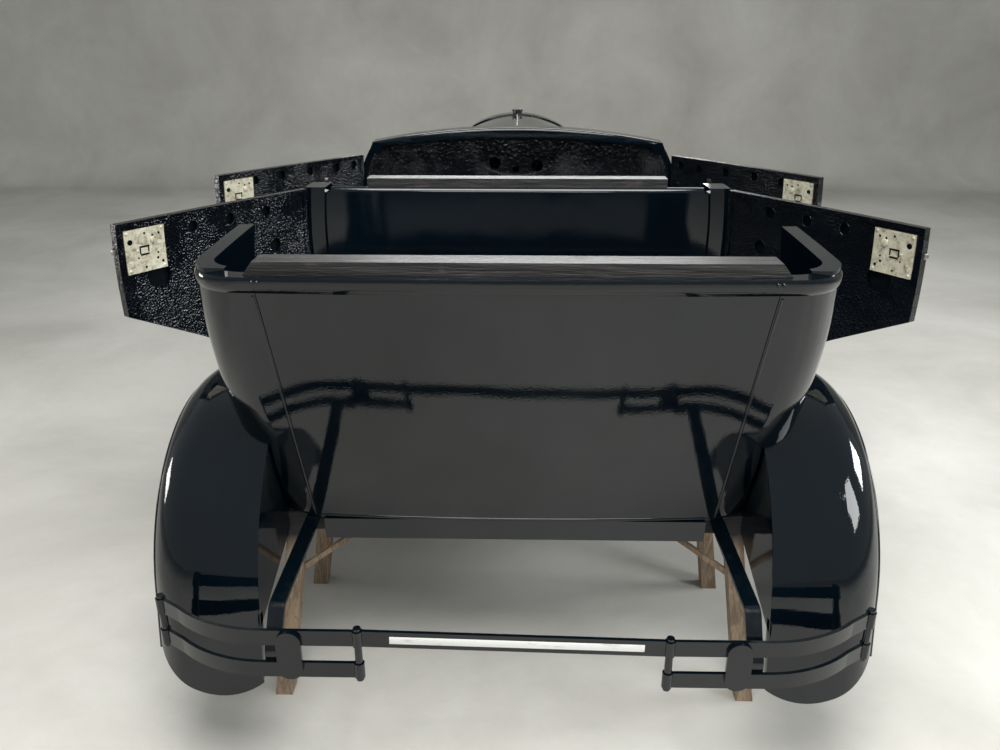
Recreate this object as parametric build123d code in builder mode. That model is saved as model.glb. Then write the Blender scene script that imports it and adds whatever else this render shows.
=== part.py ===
from build123d import *

import os
from math import acos, asin, atan2, cos, degrees, hypot, radians, sin, sqrt

os.makedirs("parts", exist_ok=True)

# Millimetres. X points to the car's right, Y to its front, Z up from the floor it stands on.

# Wheels' places, which set the arches, the frame and the bumpers
wheelbase = 2630
axle_z = 380
arch_radius = 470
rear_bumper_reach = 160
front_bumper_reach = 145

# Open tub
wall = 38
pillar_wall = 65
body_bottom_z = 530
belt_z = 1200
waist_drop = 200
roll_height = 38
roll_proud = 6
cap_height = 10
cap_inner_x = 582
cap_rear_set = 383
rear_bow = 14
corner_radius = 120
corner_flare = 3
seam_top_x = 520
seam_bottom_x = 487
seam_groove = 2.5
wheelhouse_x = 566
wheelhouse_sheet = 8

# Doors, along the side from the rear
latch_set = 30.5
rear_door_length = 655
centre_pillar_width = 97
front_door_length = 670
door_gap = 5
door_drop = 15
door_bottom_z = 560
door_arch_margin = 35
latch_edge_margin = 50
door_open_angle = 34
door_wall = 24
door_recess = 4
door_rim = 14
latch_plate = (120, 118, 3)
latch_margin = (22, 22)

# Round holes in a door's inner sheet: distance from the hinge edge, drop from the top edge, radius
rear_door_holes = ((159, 45, 16), (292, 45, 16), (418, 45, 16), (525, 48, 16), (541, 160, 36), (130, 155, 20))
front_door_holes = ((48, 34, 15), (136, 36, 15), (266, 34, 15), (397, 32, 15), (516, 36, 15), (541, 160, 36))
hole_skin = 6

# Hinges
hinge_offset = 12
strap_inset = 20
hinge_end_drop = (105, 485)
pin_radius = 5
eye_radius = 9
eye_length = 20
running_clearance = 0.3

# Cowl, hood and radiator
cowl_wall = 25
cowl_split_drop = 50
cowl_length = 400
lip_overhang = 100
lip_depth = 44
lip_round = 9
lip_end = (23, 60)
dash_drop = 160
dash_sheet = 6
gauge_oval = (156, 73, 27)
gauge_recess = 18
firewall_thickness = 6
hood_gap = 5
hood_sheet = 6
hood_bottom_z = 690
louvre = (5, 110)
louvre_pitch = 34
louvre_count = 14
rod_radius = 5
radiator_lead = 7.5
radiator_depth = 100
radiator_frame = 34

# Frame
rail_bottom_z = body_bottom_z
rail_height = 82
rail_flange = 55
rail_sheet = 6
cross_member = (60, 32)
floor_thickness = 6
engine_size = (330, 380)

# Fenders and running boards
fender_inner_x = wheelhouse_x + 5
fender_outer_x = 836
fender_shoulder = (745, 14)
fender_sheet = 4
fender_gap = 1
fender_drop = 75
foot_drop = 26
tail_turn = 170
foot_turn = 150
tail_low_z = 225
board_thickness = 25
board_top_z = 400
apron_sheet = 4

# Bumpers
bumper_z = {"left": 455, "right": 440}
front_bumper_z = 455
bar_height = 37
bar_pitch = 81
bar_thickness = 8
bumper_inner_x = 320
bumper_straight_x = 524
bumper_clamp_x = 462
bumper_arm_x = 500
bumper_arm_width = 34
bumper_tip = (764, 100)
bumper_pin_radius = 8
bumper_eye_radius = 11
pin_stand = 7

# Timber stands
timber = 45
beam_height = 50
stand_foot_x = 613
stand_top_x = 556

# Stations along the car that follow from the sizes above
rear_axle_y = (rear_bumper_reach - front_bumper_reach - wheelbase) / 2
front_axle_y = rear_axle_y + wheelbase
rear_latch_y = rear_axle_y + latch_set
centre_pillar_y = (rear_latch_y + rear_door_length + door_gap,
                   rear_latch_y + rear_door_length + door_gap + centre_pillar_width)
front_hinge_y = centre_pillar_y[1] + door_gap + front_door_length + door_gap
cowl_front_y = front_hinge_y + cowl_length
hood_y = cowl_front_y + firewall_thickness + hood_gap
radiator_y = front_axle_y + radiator_lead
hood_length = radiator_y - hood_gap - hood_y
rear_frame_y = rear_axle_y - 142.5
front_frame_y = front_axle_y + 437.5
door_top_z = belt_z - door_drop
door_arch_radius = arch_radius + door_arch_margin
latch_low_z = axle_z + door_arch_radius + latch_edge_margin
hinge_heights = (door_top_z - hinge_end_drop[1], door_top_z - hinge_end_drop[0])
rail_top_z = rail_bottom_z + rail_height
floor_z = rail_top_z + floor_thickness
hood_crown_z = belt_z + 32

# Body sections: height, rear face, where the rear corner starts, side at the rear hinge and at the front hinge
body_levels = (
    (body_bottom_z, rear_axle_y - 210, 478, 604, 566),
    (belt_z - waist_drop, rear_axle_y - 350, 564, 686, 634),
    (belt_z, rear_axle_y - 413, 550, 674, 629),
)

# Cowl sections: station, crown height, shoulder x and z, side x and z, bottom x, slope below the shoulder if creased
cowl_stations = (
    (front_hinge_y, belt_z + 98, 566, belt_z + 43, 631, belt_z - 78, 566, 52),
    (front_hinge_y + 0.45 * cowl_length, belt_z + 76, 480, belt_z + 6, 548, belt_z - 90, 506, 0),
    (cowl_front_y, hood_crown_z, 318, belt_z - 22, 382, belt_z - 100, 350, 0),
)
hood_stations = (
    (hood_y, hood_crown_z, 318, belt_z - 22, 382, belt_z - 100, 366, 0),
    (hood_y + hood_length, hood_crown_z, 215, belt_z - 20, 268, belt_z - 95, 262, 0),
)
radiator_station = (radiator_y, hood_crown_z + 6, 222, belt_z - 16, 276, belt_z - 92, 266, 0)

side_reach = 1000


def save(piece, name):
    piece.part.label = name
    export_step(piece.part, f"parts/{name}.step")


def save_pair(piece, name):
    save(piece, f"{name}_right")
    with BuildPart() as twin:
        mirror(piece.part, about=Plane.YZ)
    save(twin, f"{name}_left")


def side_slab(y_range, z_range):
    """Right-hand block between two stations and two heights."""
    with BuildPart() as slab:
        with Locations((0, y_range[0], z_range[0])):
            Box(side_reach, y_range[1] - y_range[0], z_range[1] - z_range[0],
                align=(Align.MIN, Align.MIN, Align.MIN))
    return slab.part


def body_plan(level, inset):
    """Right half of the tub's outline at one height, set in from the skin."""
    z, rear_y, corner_x, rear_hinge_x, front_hinge_x = level
    with BuildSketch(Plane.XY.offset(z)) as plan:
        with BuildLine():
            rear = TangentArc((0, rear_y - rear_bow + inset), (corner_x, rear_y + inset), tangent=(1, 0))
            lean = degrees(atan2((rear % 1).Y, (rear % 1).X))
            corner = JernArc(rear @ 1, rear % 1, corner_radius - inset, 90 - corner_flare - lean)
            quarter = TangentArc(corner @ 1, (rear_hinge_x - inset, centre_pillar_y[0]), tangent=corner % 1)
            side = TangentArc(quarter @ 1, (front_hinge_x - inset, front_hinge_y), tangent=quarter % 1)
            Polyline(side @ 1, (0, front_hinge_y), rear @ 0)
        make_face()
    return plan.sketch


def level_at(z):
    """Body section at a height, on the curve through the three sections."""
    heights = [level[0] for level in body_levels]
    row = [z]
    for column in range(1, 5):
        value = 0
        for i, level in enumerate(body_levels):
            weight = 1
            for j, other in enumerate(heights):
                if j != i:
                    weight *= (z - other) / (heights[i] - other)
            value += weight * level[column]
        row.append(value)
    return tuple(row)


def tub(inset):
    with BuildPart() as solid:
        loft([body_plan(level, inset) for level in body_levels])
    return solid.part


def arch_section(station, bottom_z, inset):
    """Right half of the cowl, hood or radiator outline, set in from the skin."""
    y, crown_z, shoulder_x, shoulder_z, side_x, side_z, bottom_x, crease = station
    with BuildSketch(Plane.XZ.offset(-y)) as section:
        with BuildLine():
            crown = TangentArc((0, crown_z - inset), (shoulder_x - inset / 2, shoulder_z - inset), tangent=(1, 0))
            heading = (cos(radians(crease)), -sin(radians(crease))) if crease else crown % 1
            shoulder = TangentArc(crown @ 1, (side_x - inset, side_z - inset / 2), tangent=heading)
            Polyline(shoulder @ 1, (bottom_x - inset, bottom_z), (0, bottom_z), crown @ 0)
        make_face()
    return section.sketch


def arch_body(stations, bottom_z, inset):
    with BuildPart() as solid:
        loft([arch_section(station, bottom_z, inset) for station in stations])
    return solid.part


def door_outline(hinge_y, latch_y, over_arch, gap=0):
    """Side view of a door, grown by a gap for its opening or shrunk for its recess. A rear door clears the arch."""
    with BuildSketch(Plane.YZ) as outline:
        with BuildLine():
            if over_arch:
                start = degrees(asin((door_bottom_z - axle_z) / door_arch_radius))
                reach = hypot(latch_y - rear_axle_y, latch_low_z - axle_z)
                bearing = degrees(atan2(latch_low_z - axle_z, latch_y - rear_axle_y))
                end = bearing - degrees(acos(door_arch_radius / reach))
                arch = CenterArc((rear_axle_y, axle_z), door_arch_radius, start, end - start)
                Polyline(arch @ 1, (latch_y, latch_low_z), (latch_y, door_top_z), (hinge_y, door_top_z),
                         (hinge_y, door_bottom_z), arch @ 0)
            else:
                Polyline((latch_y, door_bottom_z), (latch_y, door_top_z), (hinge_y, door_top_z),
                         (hinge_y, door_bottom_z), (latch_y, door_bottom_z))
        make_face()
        if gap:
            offset(amount=gap, kind=Kind.INTERSECTION)
    return outline.sketch


tub_solid = tub(0)
tub_inside = tub(wall)
pillar_inside = tub(pillar_wall)
door_inside = tub(door_wall)
recess_inside = tub(door_wall - door_recess)
latch_inside = tub(door_wall - door_recess + latch_plate[2])
hole_inside = tub(hole_skin)
cowl_inside = arch_body(cowl_stations, body_bottom_z, cowl_wall)

with BuildPart() as shell:
    add(tub_solid)
    add(tub_inside, mode=Mode.SUBTRACT)

# Rolled moulding round the top of the quarters and the rear panel
with BuildPart() as belt_roll:
    loft([body_plan(level_at(belt_z - drop), -out) for drop, out in (
        (roll_height, -2), (0.72 * roll_height, 0.75 * roll_proud), (0.4 * roll_height, roll_proud), (0, 0.2 * roll_proud))])
    add(tub_inside, mode=Mode.SUBTRACT)

front_door_ends = (front_hinge_y - door_gap, centre_pillar_y[1] + door_gap)
rear_door_ends = (centre_pillar_y[0] - door_gap, rear_latch_y)

# Doors: hinge edge, latch edge, whether it clears the arch, holes, hinge axis x and y, column of body_levels there
door_plans = {
    "door_front": (*front_door_ends, False, front_door_holes,
                   (body_levels[1][4] + hinge_offset, front_hinge_y - door_gap / 2), 4),
    "door_rear": (*rear_door_ends, True, rear_door_holes,
                  (body_levels[1][3] + hinge_offset, centre_pillar_y[0] - door_gap / 2), 3),
}

# Rear panel of the tub, between the two seams
sill_y = rear_axle_y + sqrt((arch_radius + wheelhouse_sheet) ** 2 - (body_bottom_z - axle_z) ** 2)
quarter_front_y = rear_latch_y - door_gap


def rear_wedge(margin):
    with BuildSketch(Plane.XZ.offset(-rear_axle_y + 90)) as outline:
        with BuildLine():
            Polyline((0, body_bottom_z), (seam_bottom_x + margin, body_bottom_z), (seam_top_x + margin, belt_z),
                     (0, belt_z), (0, body_bottom_z))
        make_face()
    return outline.sketch


with BuildPart() as rear_panel:
    add(shell.part)
    add(belt_roll.part)
    extrude(rear_wedge(0), amount=500, mode=Mode.INTERSECT)
    mirror(about=Plane.YZ)
save(rear_panel, "rear_panel")

with BuildPart() as quarter_panel:
    add(shell.part)
    add(belt_roll.part)
    add(side_slab((rear_axle_y - 600, sill_y), (body_bottom_z, belt_z)), mode=Mode.INTERSECT)
    extrude(rear_wedge(0), amount=500, mode=Mode.SUBTRACT)
    with BuildPart(mode=Mode.PRIVATE) as seam_strip:
        add(tub_solid)
        add(tub(seam_groove), mode=Mode.SUBTRACT)
        extrude(rear_wedge(seam_groove), amount=500, mode=Mode.INTERSECT)
    add(seam_strip.part, mode=Mode.SUBTRACT)
    extrude(door_outline(*rear_door_ends, True, door_gap), amount=side_reach, mode=Mode.SUBTRACT)
    add(side_slab((quarter_front_y, 0), (door_top_z, belt_z)), mode=Mode.SUBTRACT)
    with BuildSketch(Plane.YZ.offset(wheelhouse_x)):
        with Locations((rear_axle_y, axle_z)):
            Circle(arch_radius)
    extrude(amount=side_reach, mode=Mode.SUBTRACT)

with BuildPart() as quarter_cap:
    extrude(body_plan(body_levels[-1], 0), amount=cap_height)
    extrude(body_plan(body_levels[-1], wall), amount=cap_height, mode=Mode.SUBTRACT)
    with Locations((cap_inner_x, rear_axle_y - cap_rear_set, belt_z)):
        Box(200, quarter_front_y - rear_axle_y + cap_rear_set, cap_height, align=(Align.MIN, Align.MIN, Align.MIN),
            mode=Mode.INTERSECT)

with BuildPart() as wheelhouse:
    with BuildSketch(Plane.YZ.offset(wheelhouse_x - wheelhouse_sheet)):
        with Locations((rear_axle_y, axle_z)):
            Circle(arch_radius + wheelhouse_sheet)
    extrude(amount=wheelhouse_sheet)
    with BuildSketch(Plane.YZ.offset(wheelhouse_x)):
        with Locations((rear_axle_y, axle_z)):
            Circle(arch_radius + wheelhouse_sheet)
            Circle(arch_radius, mode=Mode.SUBTRACT)
    extrude(amount=side_reach - wheelhouse_x)
    add(tub_solid, mode=Mode.INTERSECT)
    add(quarter_panel.part)
    add(quarter_cap.part)
save_pair(wheelhouse, "quarter_panel")

with BuildPart() as body_sill:
    add(shell.part)
    add(side_slab((sill_y, front_hinge_y), (body_bottom_z, door_bottom_z - door_gap)), mode=Mode.INTERSECT)
save_pair(body_sill, "body_sill")


# Door hinges: pins and two eyes on the pillar, one eye between them on the door
def strap_start(name, z):
    """Where a hinge strap starts, inside the skin at its height."""
    return level_at(z)[door_plans[name][5]] - strap_inset


def pillar_hinges(name):
    x, y = door_plans[name][4]
    with BuildPart() as hinges:
        for z in hinge_heights:
            strap_x = strap_start(name, z)
            with Locations((x, y, z)):
                Cylinder(pin_radius, 3 * eye_length)
            for side in (-1, 1):
                with Locations((x, y, z + side * eye_length)):
                    Cylinder(eye_radius, eye_length - 2 * running_clearance)
                with Locations((strap_x, y + door_gap / 2 + 1, z + side * eye_length)):
                    Box(x - strap_x, 22, eye_length - 2 * running_clearance, align=(Align.MIN, Align.MIN, Align.CENTER))
    return hinges.part


def door_hinges(name):
    x, y = door_plans[name][4]
    with BuildPart() as hinges:
        for z in hinge_heights:
            strap_x = strap_start(name, z)
            with Locations((x, y, z)):
                Cylinder(eye_radius, eye_length - 2 * running_clearance)
            with Locations((strap_x, y - door_gap / 2 - 1, z)):
                Box(x - strap_x, 30, eye_length - 2 * running_clearance, align=(Align.MIN, Align.MAX, Align.CENTER))
            with Locations((x, y, z)):
                Cylinder(pin_radius + running_clearance, 3 * eye_length, mode=Mode.SUBTRACT)
    return hinges.part


with BuildPart() as centre_pillar:
    add(tub_solid)
    add(pillar_inside, mode=Mode.SUBTRACT)
    add(side_slab(centre_pillar_y, (door_bottom_z - door_gap, door_top_z)), mode=Mode.INTERSECT)
    add(pillar_hinges("door_rear"))
save_pair(centre_pillar, "centre_pillar")


# Doors are cut from the tub's wall, hollowed on the inside, then swung open on their hinges
def door_recess_block(hinge_y, latch_y, over_arch):
    """What is pressed out of a door's inner sheet, inside its rim."""
    with BuildPart() as block:
        add(recess_inside)
        extrude(door_outline(hinge_y, latch_y, over_arch, -door_rim), amount=side_reach, mode=Mode.INTERSECT)
    return block.part


def door_hole_block(hinge_y, holes):
    with BuildPart() as block:
        with BuildSketch(Plane.YZ):
            for along, down, radius in holes:
                with Locations((hinge_y - along, door_top_z - down)):
                    Circle(radius)
        extrude(amount=side_reach)
        add(hole_inside, mode=Mode.INTERSECT)
    return block.part


for name, (hinge_y, latch_y, over_arch, holes, (axis_x, axis_y), _) in door_plans.items():
    plate_y, plate_z = latch_y + latch_margin[0], door_top_z - latch_margin[1]
    with BuildPart() as door:
        add(tub_solid)
        add(door_inside, mode=Mode.SUBTRACT)
        extrude(door_outline(hinge_y, latch_y, over_arch), amount=side_reach, mode=Mode.INTERSECT)
        add(door_recess_block(hinge_y, latch_y, over_arch), mode=Mode.SUBTRACT)
        add(door_hole_block(hinge_y, holes), mode=Mode.SUBTRACT)
        add(door_hinges(name))
    with BuildPart() as latch:
        add(recess_inside)
        add(latch_inside, mode=Mode.SUBTRACT)
        add(side_slab((plate_y, plate_y + latch_plate[0]), (plate_z - latch_plate[1], plate_z)), mode=Mode.INTERSECT)
    swing = Axis((axis_x, axis_y, 0), (0, 0, 1))
    with BuildPart() as open_door:
        add(door.part.rotate(swing, door_open_angle))
    save_pair(open_door, name)
    with BuildPart() as open_latch:
        add(latch.part.rotate(swing, door_open_angle))
    save_pair(open_latch, name.replace("door", "latch"))

# Cowl
with BuildPart() as cowl:
    add(arch_body(cowl_stations, body_bottom_z, 0))
    add(cowl_inside, mode=Mode.SUBTRACT)
cowl_split_z = belt_z - cowl_split_drop
with BuildPart() as cowl_side:
    add(cowl.part)
    add(side_slab((0, cowl_front_y), (0, cowl_split_z)), mode=Mode.INTERSECT)
    add(side_slab((front_hinge_y + 170, cowl_front_y), (0, floor_z)), mode=Mode.SUBTRACT)
    add(pillar_hinges("door_front"))
save_pair(cowl_side, "cowl_side")

with BuildPart() as cowl_lip:
    crown_z, shoulder_x, shoulder_z = cowl_stations[0][1:4]
    with BuildSketch(Plane.XZ.offset(-front_hinge_y)):
        with BuildLine():
            rim = TangentArc((0, crown_z), (shoulder_x, shoulder_z), tangent=(1, 0))
            under = TangentArc((0, crown_z - lip_depth), (shoulder_x, shoulder_z - cowl_wall), tangent=(1, 0))
            Line(rim @ 0, under @ 0)
            Line(rim @ 1, under @ 1)
        make_face()
    extrude(amount=lip_overhang)
    mirror(about=Plane.YZ)
    rear_edges = cowl_lip.faces().sort_by(Axis.Y)[0].edges()
    fillet(rear_edges.filter_by(lambda edge: edge.length > 300), radius=lip_round)
    for sign in (-1, 1):
        with Locations((sign * (shoulder_x - lip_end[0] + 6), front_hinge_y - lip_overhang + lip_end[1] / 2,
                        shoulder_z - lip_end[0])):
            Cylinder(lip_end[0], lip_end[1], rotation=(90, 0, 0))

with BuildPart() as cowl_top:
    add(cowl.part)
    add(side_slab((0, cowl_front_y), (cowl_split_z, crown_z + 100)), mode=Mode.INTERSECT)
    mirror(about=Plane.YZ)
    add(cowl_lip.part)
save(cowl_top, "cowl_top")

# Dash sheet with an oval opening, and the plate that carries the gauges behind it
oval_x, oval_z, oval_drop = gauge_oval
with BuildPart() as dash_panel:
    add(cowl_inside)
    add(side_slab((front_hinge_y, front_hinge_y + dash_sheet), (belt_z - dash_drop, crown_z)), mode=Mode.INTERSECT)
    with BuildSketch(Plane.XZ.offset(-front_hinge_y - gauge_recess)):
        with Locations((0, belt_z - oval_drop)):
            Ellipse(oval_x + dash_sheet, oval_z + dash_sheet)
    extrude(amount=gauge_recess)
    with BuildSketch(Plane.XZ.offset(-front_hinge_y - gauge_recess)):
        with Locations((0, belt_z - oval_drop)):
            Ellipse(oval_x, oval_z)
    extrude(amount=gauge_recess, mode=Mode.SUBTRACT)
    add(side_slab((front_hinge_y, front_hinge_y + gauge_recess), (belt_z - dash_drop, crown_z)), mode=Mode.INTERSECT)
    mirror(about=Plane.YZ)
save(dash_panel, "dash_panel")

with BuildPart() as gauge_plate:
    with BuildSketch(Plane.XZ.offset(-front_hinge_y - gauge_recess)):
        with Locations((0, belt_z - oval_drop)):
            Ellipse(oval_x + dash_sheet, oval_z + dash_sheet)
        with Locations((-90, belt_z - oval_drop - 26), (82, belt_z - oval_drop - 36)):
            Circle(24, mode=Mode.SUBTRACT)
        with Locations((-4, belt_z - oval_drop - 50)):
            Circle(13, mode=Mode.SUBTRACT)
    extrude(amount=-3)
save(gauge_plate, "gauge_plate")

with BuildPart() as firewall:
    extrude(arch_section(cowl_stations[-1], floor_z, 0), amount=-firewall_thickness)
    mirror(about=Plane.YZ)
save(firewall, "firewall")

# Hood halves, each a top and a louvred side, on the rod along the crown
with BuildPart() as hood_half:
    add(arch_body(hood_stations, hood_bottom_z, 0))
    add(arch_body(hood_stations, hood_bottom_z, hood_sheet), mode=Mode.SUBTRACT)
    with Locations((0, hood_y - 10, 0)):
        Box(rod_radius + running_clearance, hood_length + 20, 2 * hood_crown_z, align=(Align.MIN, Align.MIN, Align.MIN),
            mode=Mode.SUBTRACT)
    with BuildSketch(Plane.YZ.offset(hood_stations[1][6] - 30)):
        with Locations((hood_y + hood_length / 2, (hood_bottom_z + belt_z - 100) / 2)):
            with GridLocations(louvre_pitch, 1, louvre_count, 1):
                Rectangle(*louvre)
    extrude(amount=side_reach, mode=Mode.SUBTRACT)
save_pair(hood_half, "hood")

with BuildPart() as hood_hinge_rod:
    with BuildSketch(Plane.XZ.offset(-cowl_front_y - firewall_thickness)):
        with Locations((0, hood_crown_z)):
            Circle(rod_radius)
    extrude(amount=-(hood_length + 2 * hood_gap))
save(hood_hinge_rod, "hood_hinge_rod")

# Radiator
radiator_bottom_z = rail_bottom_z + cross_member[1]
with BuildPart() as radiator_shell:
    extrude(arch_section(radiator_station, radiator_bottom_z, 0), amount=-radiator_depth)
    extrude(arch_section(radiator_station, radiator_bottom_z + radiator_frame, radiator_frame),
            amount=-radiator_depth, mode=Mode.SUBTRACT)
    mirror(about=Plane.YZ)
save(radiator_shell, "radiator_shell")

with BuildPart() as radiator_core:
    extrude(arch_section((radiator_y + 15, *radiator_station[1:]), radiator_bottom_z + radiator_frame,
                         radiator_frame), amount=-(radiator_depth - 30))
    mirror(about=Plane.YZ)
save(radiator_core, "radiator_core")

with BuildPart() as radiator_cap:
    cap_z = radiator_station[1]
    with BuildSketch(Plane.XY.offset(cap_z)):
        with Locations((0, radiator_y + radiator_depth / 2)):
            Circle(24)
    extrude(amount=8)
    with BuildSketch(Plane.XY.offset(cap_z + 8)):
        with Locations((0, radiator_y + radiator_depth / 2)):
            Circle(18)
            SlotOverall(58, 18)
    extrude(amount=11)
    fillet(radiator_cap.faces().sort_by(Axis.Z)[-1].edges(), radius=3)
save(radiator_cap, "radiator_cap")

# Frame: two channel rails that close in towards the front, and cross members between them
rail_plan = ((535, rear_frame_y), (535, centre_pillar_y[0] - 83), (400, cowl_front_y + 140), (380, front_frame_y))
engine_y = (cowl_front_y + 60, radiator_y - 110)
cross_members = (rear_frame_y + 30, rear_axle_y + 257.5, centre_pillar_y[1] + 220, cowl_front_y - 60,
                 engine_y[0] + 180, engine_y[1] - 70, radiator_y + radiator_depth / 2, front_frame_y - 40)


def rail_sketch(inset_outer, inset_inner):
    with BuildSketch(Plane.XY.offset(rail_bottom_z + (rail_sheet if inset_outer else 0))) as sketch:
        with BuildLine():
            outer = [(x - inset_outer, y) for x, y in rail_plan]
            inner = [(x - inset_inner, y) for x, y in reversed(rail_plan)]
            Polyline(*outer, *inner, close=True)
        make_face()
    return sketch.sketch


def rail_x(y):
    """Outer face of the rail at a station."""
    for (x0, y0), (x1, y1) in zip(rail_plan, rail_plan[1:]):
        if y <= y1:
            return x0 + (x1 - x0) * (y - y0) / (y1 - y0)
    return rail_plan[-1][0]


with BuildPart() as chassis_frame:
    extrude(rail_sketch(0, rail_flange), amount=rail_height)
    extrude(rail_sketch(rail_sheet, rail_flange + 1), amount=rail_height - 2 * rail_sheet, mode=Mode.SUBTRACT)
    for station in cross_members:
        with Locations((0, station, rail_bottom_z)):
            Box(rail_x(station) - rail_sheet / 2, *cross_member, align=(Align.MIN, Align.CENTER, Align.MIN))
    mirror(about=Plane.YZ)
save(chassis_frame, "chassis_frame")

with BuildPart() as engine_block:
    with Locations((0, engine_y[0], rail_bottom_z + cross_member[1])):
        Box(engine_size[0], engine_y[1] - engine_y[0], engine_size[1], align=(Align.CENTER, Align.MIN, Align.MIN))
save(engine_block, "engine_block")


# Floor and the fixed furniture of the tub, fitted to the inside of the walls
def wheelhouse_block():
    with BuildPart() as block:
        with BuildSketch(Plane.YZ.offset(wheelhouse_x - wheelhouse_sheet)):
            with Locations((rear_axle_y, axle_z)):
                Circle(arch_radius + wheelhouse_sheet)
        extrude(amount=side_reach)
    return block.part


with BuildPart() as floor_pan:
    add(tub_inside)
    add(cowl_inside)
    add(side_slab((rear_axle_y - 290, cowl_front_y), (rail_top_z, floor_z)), mode=Mode.INTERSECT)
    add(centre_pillar.part, mode=Mode.SUBTRACT)
    add(wheelhouse_block(), mode=Mode.SUBTRACT)
    mirror(about=Plane.YZ)
save(floor_pan, "floor_pan")

seat_back_y = (centre_pillar_y[0] + 17, centre_pillar_y[0] + 55)
seat_back_top = belt_z - 18
riser_thickness = 20


def tub_bulkhead(inside, y_range, z_range):
    with BuildPart() as bulkhead:
        add(inside)
        add(side_slab(y_range, z_range), mode=Mode.INTERSECT)
        add(wheelhouse_block(), mode=Mode.SUBTRACT)
        mirror(about=Plane.YZ)
    return bulkhead


back_roll = 15
with BuildPart() as front_seat_back:
    add(tub_bulkhead(pillar_inside, seat_back_y, (floor_z, seat_back_top - back_roll)).part)
    with Locations((0, seat_back_y[0] + back_roll, seat_back_top - back_roll)):
        Cylinder(back_roll, 2 * (body_levels[-1][3] - pillar_wall - 12), rotation=(0, 90, 0))
    with Locations((0, seat_back_y[0] + back_roll, seat_back_top - back_roll)):
        Box(1100, seat_back_y[1] - seat_back_y[0] - back_roll, back_roll - 4, align=(Align.CENTER, Align.MIN, Align.MIN))
save(front_seat_back, "front_seat_back")
for name, riser_y, top_z in (("front_seat_riser", front_hinge_y - 250, 850), ("rear_seat_riser", rear_axle_y + 197.5, 860)):
    save(tub_bulkhead(tub_inside, (riser_y, riser_y + riser_thickness), (floor_z, top_z)), name)

with BuildPart() as front_tacking_rail:
    with Locations((0, seat_back_y[1], seat_back_top - 14)):
        Box(970, 60, 37, align=(Align.CENTER, Align.MIN, Align.MIN))
save(front_tacking_rail, "front_tacking_rail")

with BuildPart() as rear_tacking_rail:
    with BuildSketch(Plane.XZ.offset(-rear_axle_y + 337.5)):
        with BuildLine():
            Polyline((-543, belt_z), (543, belt_z), (522, belt_z + 27), (-522, belt_z + 27), close=True)
        make_face()
    extrude(amount=60)
save(rear_tacking_rail, "rear_tacking_rail")

with BuildPart() as rear_sill:
    with Locations((0, rear_axle_y - 220, body_bottom_z - 55)):
        Box(940, 28, 55, align=(Align.CENTER, Align.MIN, Align.MIN))
save(rear_sill, "rear_sill")


# Fenders: a crowned sheet swept round the wheel, then straight down behind or out to the running board
def fender_section(start, along, drop=fender_drop):
    """Crown of a fender, nearly flat beside the body and rolled down at its outer edge."""
    shoulder_x, shoulder_fall = fender_shoulder
    plane = Plane(origin=(0, start.Y, start.Z), x_dir=(1, 0, 0), z_dir=along)
    with BuildSketch(plane) as section:
        with BuildLine():
            crown = TangentArc((fender_inner_x, 0), (shoulder_x, -shoulder_fall * drop / fender_drop), tangent=(1, 0))
            roll = TangentArc(crown @ 1, (fender_outer_x, -drop), tangent=crown % 1)
            offset(amount=fender_sheet, side=Side.RIGHT)
        make_face()
    return section.sketch


fender_radius = arch_radius - fender_gap
with BuildPart() as fender_rear:
    with BuildLine(Plane.YZ) as sweep_line:
        over = CenterArc((rear_axle_y, axle_z), fender_radius, 0, tail_turn)
        tail_length = ((over @ 1).Z - tail_low_z) / -(over % 1).Z
        Line(over @ 1, over @ 1 + (over % 1) * tail_length)
    sweep(fender_section(over @ 0, over % 0), path=sweep_line.wires()[0])
    with BuildSketch(Plane.XZ.offset(-rear_axle_y + fender_radius - 80)):
        with BuildLine():
            low = ThreePointArc((fender_inner_x - 10, tail_low_z + 47), (690, tail_low_z + 1), (800, tail_low_z + 43))
            corner = TangentArc(low @ 1, (fender_outer_x + 2, tail_low_z + 105), tangent=low % 1)
            Polyline(corner @ 1, (900, tail_low_z + 105), (900, tail_low_z - 75), (fender_inner_x - 10, tail_low_z - 75),
                     low @ 0)
        make_face()
    extrude(amount=300, mode=Mode.SUBTRACT)
save_pair(fender_rear, "fender_rear")

foot_radius = (axle_z + fender_radius * sin(radians(foot_turn)) - board_top_z) / (1 - cos(radians(foot_turn - 90)))
board_front_y = front_axle_y + fender_radius * cos(radians(foot_turn)) - foot_radius * sin(radians(foot_turn - 90))
board_rear_y = rear_axle_y + fender_radius
inner_apron = (390, axle_z + fender_radius - 59, 380)
with BuildPart() as fender_front:
    with BuildLine(Plane.YZ) as sweep_line:
        over = CenterArc((front_axle_y, axle_z), fender_radius, -5, foot_turn + 5)
    sweep(fender_section(over @ 0, over % 0), path=sweep_line.wires()[0])
    with BuildLine(Plane.YZ) as foot_line:
        foot = JernArc(over @ 1, over % 1, foot_radius, -(foot_turn - 90))
    sweep([fender_section(foot @ 0, foot % 0), fender_section(foot @ 1, foot % 1, foot_drop)],
          path=foot_line.wires()[0], multisection=True)
    with BuildSketch(Plane.XZ.offset(-front_axle_y)) as apron:
        with BuildLine():
            Polyline((inner_apron[0], rail_top_z), (fender_inner_x + 5, inner_apron[1]),
                     (fender_inner_x + 5, inner_apron[1] + 2 * apron_sheet),
                     (inner_apron[0], rail_top_z + 2 * apron_sheet), close=True)
        make_face()
    extrude(amount=inner_apron[2], both=True)
    with BuildSketch(Plane.YZ.offset(inner_apron[0] - 10)):
        with Locations((front_axle_y, axle_z)):
            Circle(arch_radius + 100)
            Circle(fender_radius - 2, mode=Mode.SUBTRACT)
    extrude(amount=fender_inner_x - inner_apron[0] + 10, mode=Mode.SUBTRACT)
save_pair(fender_front, "fender_front")

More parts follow.
